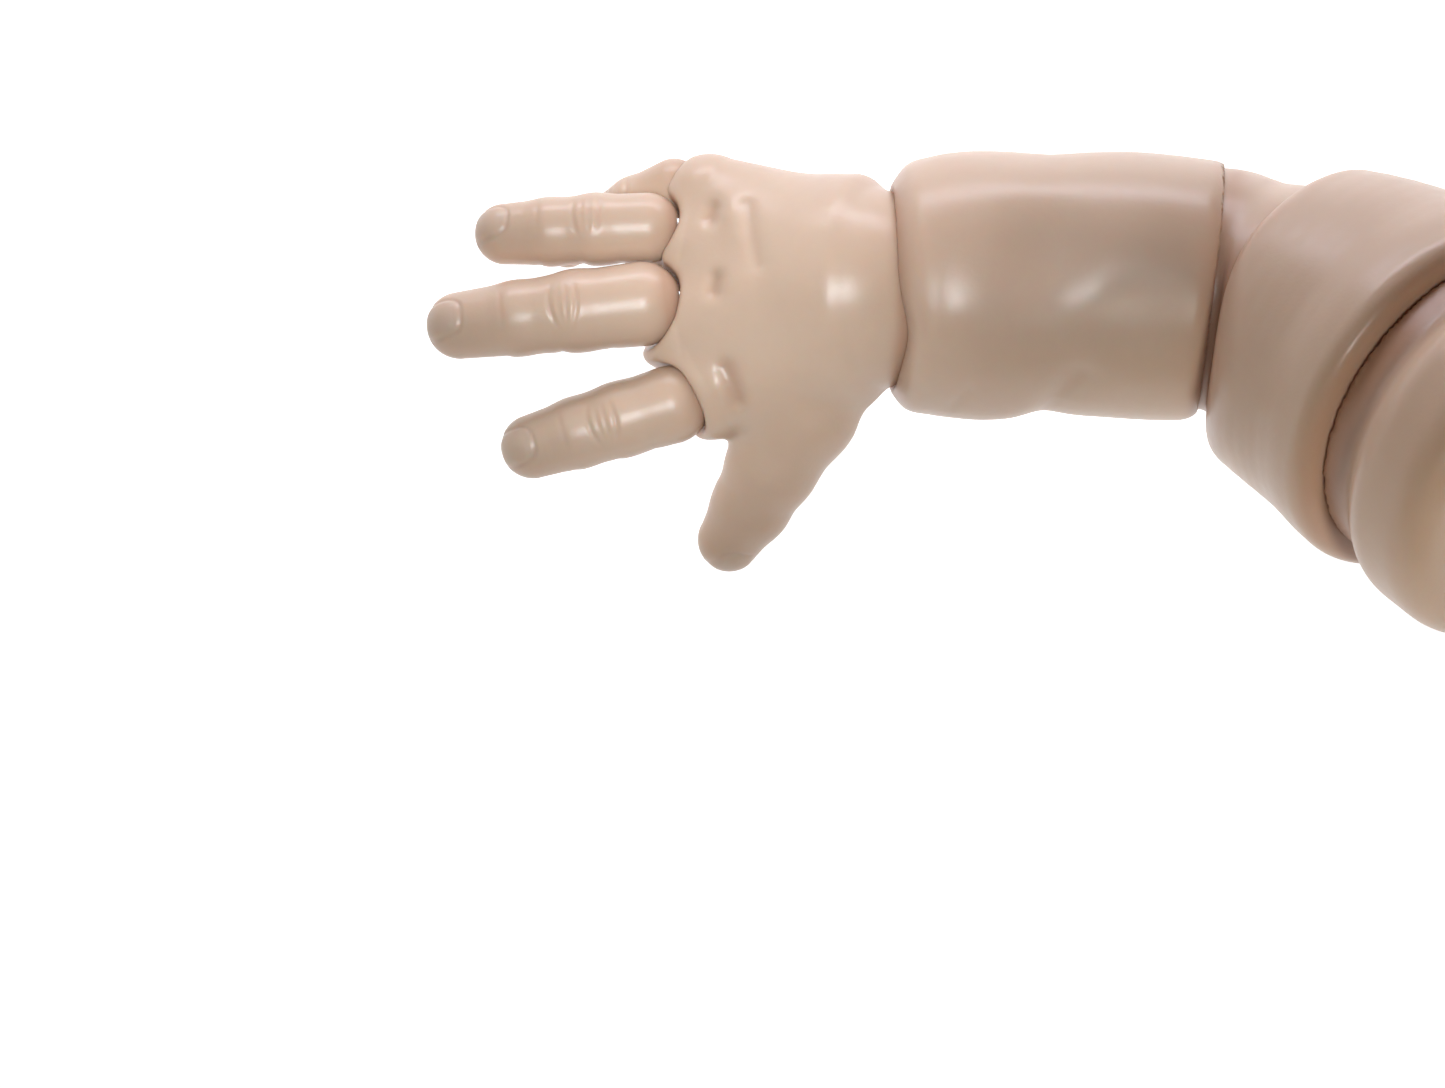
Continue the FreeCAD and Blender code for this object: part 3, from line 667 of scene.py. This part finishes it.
def elbow_ball_field(p, grow=0.0):
    """The smooth cap in the bend: a ball that widens into the upper arm."""
    f = sphere(p, ELBOW, ELBOW_BALL_R)
    neck = limb(p, ELBOW + UPPER_AXIS * 4.0, ELBOW + UPPER_AXIS * 16.0, 20.0, 22.6)
    for tilt in (RIM_TILT, RIM_TILT + 35.0):
        neck = soft_max(neck, -past_rim(p, tilt, 0.6), 1.0)
    f = soft_min(f, neck, 1.0)
    f = np.maximum(f, plane(p, ELBOW + UPPER_AXIS * 22.0, UPPER_AXIS))
    return f - grow


# painted shade: darker near the rims of the forearm and the upper arm
def elbow_painted_shade(p):
    return 0.5 * bell(past_rim(p), 2.2) + 0.4 * bell(past_upper_rim(p), 2.2)


def flange_field(p):
    q = p - ARM_END.astype(np.float32)
    a = q @ SHOULDER_AXIS.astype(np.float32)
    r = np.sqrt(np.maximum((q * q).sum(-1) - a * a, 0))
    end = float((END_FACE - ARM_END) @ SHOULDER_AXIS)
    neck = np.maximum(r - GROOVE_R, np.maximum(0.4 - a, a - end + 4))
    disc = soft_max(r - FLANGE_R, GROOVE_W - a, 6.0)
    disc = soft_max(disc, a - end, 6.0)
    f = soft_min(neck, disc, 2.4)
    f = np.maximum(f, a - end)
    insert = np.maximum(r - INSERT_R, (end - INSERT_DEPTH) - a)
    return np.maximum(f, -insert)


# painted shade: darker in the groove between the upper arm and the shoulder cap
def flange_painted_shade(p):
    a = (p - ARM_END.astype(np.float32)) @ SHOULDER_AXIS.astype(np.float32)
    return 0.85 * bell(a - 2.5, 4.0)


# ---------------------------------------------------------------- materials
def node(tree, kind, **values):
    made = tree.nodes.new(kind)
    for key, value in values.items():
        setattr(made, key, value)
    return made


def new_material(name):
    material = bpy.data.materials.new(name)
    material.use_nodes = True
    tree = material.node_tree
    return material, tree, tree.nodes["Principled BSDF"]


def noise(tree, scale, detail=3.0):
    coords = node(tree, "ShaderNodeTexCoord")
    made = node(tree, "ShaderNodeTexNoise")
    made.inputs["Scale"].default_value = scale
    made.inputs["Detail"].default_value = detail
    tree.links.new(coords.outputs["Object"], made.inputs["Vector"])
    return made


def mix_colour(tree, factor, a, b):
    """A colour between a and b, each a socket or a fixed colour."""
    mixed = node(tree, "ShaderNodeMix", data_type="RGBA")
    tree.links.new(factor, mixed.inputs["Factor"])
    for socket, value in ((mixed.inputs[6], a), (mixed.inputs[7], b)):
        if isinstance(value, tuple):
            socket.default_value = (*value, 1)
        else:
            tree.links.new(value, socket)
    return mixed.outputs[2]


def scaled(tree, socket, factor, offset=0.0):
    made = node(tree, "ShaderNodeMath", operation="MULTIPLY_ADD")
    tree.links.new(socket, made.inputs[0])
    made.inputs[1].default_value = factor
    made.inputs[2].default_value = offset
    return made.outputs[0]


SKIN_DARK = (0.61, 0.43, 0.31)
SKIN_LIGHT = (0.68, 0.51, 0.38)
SKIN_SPECK = (0.57, 0.38, 0.27)
# painted shade: a dark warm brown mixed in where creases, grooves and joint gaps would fall into shade
PAINTED_SHADE_COLOUR = (0.40, 0.18, 0.10)
NAIL = (0.62, 0.50, 0.40)


def skin_material():
    """Soft vinyl: warm beige with faint mottling, painted shade in the creases, grooves and joint rims, paler
    nails, satin sheen.
    """
    known = bpy.data.materials.get("soft_vinyl")
    if known:
        return known
    material, tree, shader = new_material("soft_vinyl")
    broad = noise(tree, 38.0, 2.0)
    fine = noise(tree, 420.0, 4.0)
    base = mix_colour(tree, scaled(tree, broad.outputs["Fac"], 1.6, -0.3), SKIN_DARK, SKIN_LIGHT)
    base = mix_colour(tree, scaled(tree, fine.outputs["Fac"], 0.25, -0.05), base, SKIN_SPECK)
    # painted shade: the shade attribute darkens creases and joint gaps towards a warm brown
    painted_shade = node(tree, "ShaderNodeAttribute", attribute_name="painted_shade")
    base = mix_colour(tree, scaled(tree, painted_shade.outputs["Fac"], 0.8), base, PAINTED_SHADE_COLOUR)
    nail = node(tree, "ShaderNodeAttribute", attribute_name="nail")
    base = mix_colour(tree, scaled(tree, nail.outputs["Fac"], 0.35), base, NAIL)
    tree.links.new(base, shader.inputs["Base Color"])
    tree.links.new(scaled(tree, fine.outputs["Fac"], 0.12, 0.27), shader.inputs["Roughness"])
    shader.inputs["Subsurface Weight"].default_value = 0.3
    shader.inputs["Subsurface Radius"].default_value = (1.0, 0.35, 0.18)
    shader.inputs["Subsurface Scale"].default_value = 0.004
    shader.inputs["IOR"].default_value = 1.45
    bump = node(tree, "ShaderNodeBump")
    bump.inputs["Strength"].default_value = 0.10
    bump.inputs["Distance"].default_value = 0.0002
    grain = noise(tree, 1500.0, 3.0)
    tree.links.new(grain.outputs["Fac"], bump.inputs["Height"])
    tree.links.new(bump.outputs["Normal"], shader.inputs["Normal"])
    return material


def mottled_material(name, colour, shade, roughness, spread, scale, detail, metallic):
    """A colour that goes down to its shade in fine mottling, which also varies the roughness."""
    material, tree, shader = new_material(name)
    mottle = noise(tree, scale, detail)
    darker = tuple(c * shade for c in colour)
    tree.links.new(mix_colour(tree, mottle.outputs["Fac"], darker, colour), shader.inputs["Base Color"])
    tree.links.new(scaled(tree, mottle.outputs["Fac"], spread, roughness), shader.inputs["Roughness"])
    shader.inputs["Metallic"].default_value = metallic
    return material


def metal_material(name, colour, roughness, scale=600.0):
    return mottled_material(name, colour, 0.8, roughness - 0.1, 0.2, scale, 5.0, 1.0)


def plastic_material(name, colour, roughness):
    return mottled_material(name, colour, 0.9, roughness, 0.15, 300.0, 4.0, 0.0)


def dress_cad_nodes():
    """Every CAD piece that stays gets the finish of its slot in the record."""
    finishes = {
        "steel": metal_material("turned_steel", (0.62, 0.62, 0.63), 0.32),
        "screw_steel": metal_material("black_oxide", (0.10, 0.10, 0.11), 0.45),
        "brass": metal_material("turned_brass", (0.78, 0.58, 0.28), 0.3),
        "frame_alloy": metal_material("blasted_alloy", (0.72, 0.73, 0.74), 0.5, 900.0),
        "nylon": plastic_material("natural_nylon", (0.86, 0.84, 0.78), 0.4),
        "skin": skin_material(),
    }
    for part in frame["record"]["subparts"]:
        obj = frame["nodes"][part["node"]]
        obj.data.materials.clear()
        obj.data.materials.append(finishes[part["material_slot"]])


# ---------------------------------------------------------------- stage, in metres
FLOOR_BELOW = 0.12
FLOOR_HALF_SIDE = 30.0
FLOOR_GLOW = 0.95
SENSOR_WIDTH = 36.0
CAMERA_ABOVE = 450.0        # this and the next two are in millimetres
CAMERA_ASIDE = (-21.4, -43.2)
VIEW_WIDTH = 245.65


def make_stage():
    """White paper, so bright that only the arm stands out from it."""
    low, high = (np.array(corner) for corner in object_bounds())
    floor_z = low[2] - FLOOR_BELOW
    middle = (low + high) / 2
    mesh = bpy.data.meshes.new("floor")
    corners = [(middle[0] + sx * FLOOR_HALF_SIDE, middle[1] + sy * FLOOR_HALF_SIDE, floor_z)
               for sx, sy in ((-1, -1), (1, -1), (1, 1), (-1, 1))]
    mesh.from_pydata(corners, [], [(0, 1, 2, 3)])
    floor = bpy.data.objects.new("floor", mesh)
    bpy.context.scene.collection.objects.link(floor)
    material, tree, shader = new_material("white_paper")
    grain = noise(tree, 60.0, 2.0)
    tree.links.new(mix_colour(tree, grain.outputs["Fac"], (0.90, 0.90, 0.90), (0.93, 0.93, 0.93)),
                   shader.inputs["Base Color"])
    shader.inputs["Roughness"].default_value = 0.9
    shader.inputs["Emission Color"].default_value = (1.0, 1.0, 1.0, 1)
    shader.inputs["Emission Strength"].default_value = FLOOR_GLOW
    mesh.materials.append(material)
    floor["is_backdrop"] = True


def add_light(name, kind, place, target, power, colour):
    """A light that points at the target and that the camera doesn't see."""
    data = bpy.data.lights.new(name, kind)
    data.energy = power
    data.color = colour
    lamp = bpy.data.objects.new(name, data)
    bpy.context.scene.collection.objects.link(lamp)
    lamp.visible_camera = False
    lamp.location = place
    lamp.rotation_euler = (target - place).to_track_quat("-Z", "Y").to_euler()
    return data


def area_light(name, place, target, size, power, colour):
    data = add_light(name, "AREA", place, target, power, colour)
    data.shape = "RECTANGLE"
    data.size, data.size_y = size


def spot_light(name, place, target, power, degrees, colour, radius):
    data = add_light(name, "SPOT", place, target, power, colour)
    data.spot_size = math.radians(degrees)
    data.spot_blend = 1.0
    data.shadow_soft_size = radius


def make_lights():
    """A long window beyond the little finger, a lamp over the hand, and a small one over the shoulder end."""
    hand = Vector(((WRIST + [-25, 0, 0]) * MM).tolist())
    aim = hand + Vector((0.05, 0, 0))
    area_light("window", aim + Vector((0.0, 0.50, 0.10)), aim,
               size=(0.60, 0.12), power=2.1, colour=(0.88, 0.88, 1.0))
    spot_light("over_hand", hand + Vector((0.0, -0.02, 0.24)), hand,
               power=3.1, degrees=38.0, colour=(0.90, 0.95, 1.0), radius=0.06)
    flange = Vector((SHOULDER_AXIS * -0.008).tolist()) + Vector((-0.012, -0.016, 0.01))
    spot_light("lamp", flange + Vector((0.04, -0.10, 0.28)), flange,
               power=3.6, degrees=15.0, colour=(1.0, 0.97, 0.90), radius=0.04)
    world = bpy.data.worlds.new("studio")
    world.use_nodes = True
    background = world.node_tree.nodes["Background"]
    background.inputs["Color"].default_value = (1.0, 0.72, 0.52, 1)
    background.inputs["Strength"].default_value = 0.06
    bpy.context.scene.world = world


def make_camera():
    """Straight above the forearm, looking down, with the fingers to the left."""
    data = bpy.data.cameras.new("camera")
    data.sensor_width = SENSOR_WIDTH
    data.lens = SENSOR_WIDTH * CAMERA_ABOVE / VIEW_WIDTH
    camera = bpy.data.objects.new("camera", data)
    bpy.context.scene.collection.objects.link(camera)
    camera.location = ((WRIST + [*CAMERA_ASIDE, CAMERA_ABOVE]) * MM).tolist()
    camera.rotation_euler = (0, 0, 0)
    bpy.context.scene.camera = camera
    bpy.context.scene.view_settings.view_transform = "Standard"


# ---------------------------------------------------------------- build
make_camera()
make_lights()
make_stage()
dress_cad_nodes()

THUMB_ROOT = joint_place("thumb_bend")
THUMB_WAY = unit([0.0, -0.75, -0.66])
thumb_blend = ("hand", "thumb", (THUMB_ROOT + THUMB_WAY * 2.0) * MM, (THUMB_ROOT + THUMB_WAY * 12.0) * MM)
piece("hand_skin", hand_field, (-40, -53, -28), (22, 27, 23), HAND_STEP, thumb_blend,
      ["palm_shell", "thumb_skin"], hand_painted_shade, hand_nail)
for finger in FINGERS:
    centres = np.array(finger_points(finger))
    reach = FINGERS[finger]["radii"][0] + 1.6
    piece(finger + "_finger", finger_field(finger), centres.min(0) - reach, centres.max(0) + reach, FINGER_STEP,
          finger, [finger + "_skin"], finger_painted_shade(finger), finger_nail(finger))
piece("forearm_skin", forearm_field, (2, -26, -26), (70, 27, 27), FOREARM_STEP, "forearm",
      ["forearm_shell"], forearm_painted_shade)
piece("elbow_cap", elbow_ball_field, ELBOW - 24, ELBOW + 40, FOREARM_STEP, "upper_arm",
      ["elbow_ball"], elbow_painted_shade)
upper = np.array([ELBOW, UPPER_BEND, SHOULDER])
piece("upper_arm_skin", upper_arm_field, upper.min(0) - 34, upper.max(0) + 36, UPPER_ARM_STEP, "upper_arm",
      ["upper_arm_shell"], upper_arm_painted_shade)
ends = np.array([SHOULDER, END_FACE])
piece("shoulder_cap", flange_field, ends.min(0) - 33, ends.max(0) + 33, UPPER_ARM_STEP, "shoulder",
      ["shoulder_flange"], flange_painted_shade)
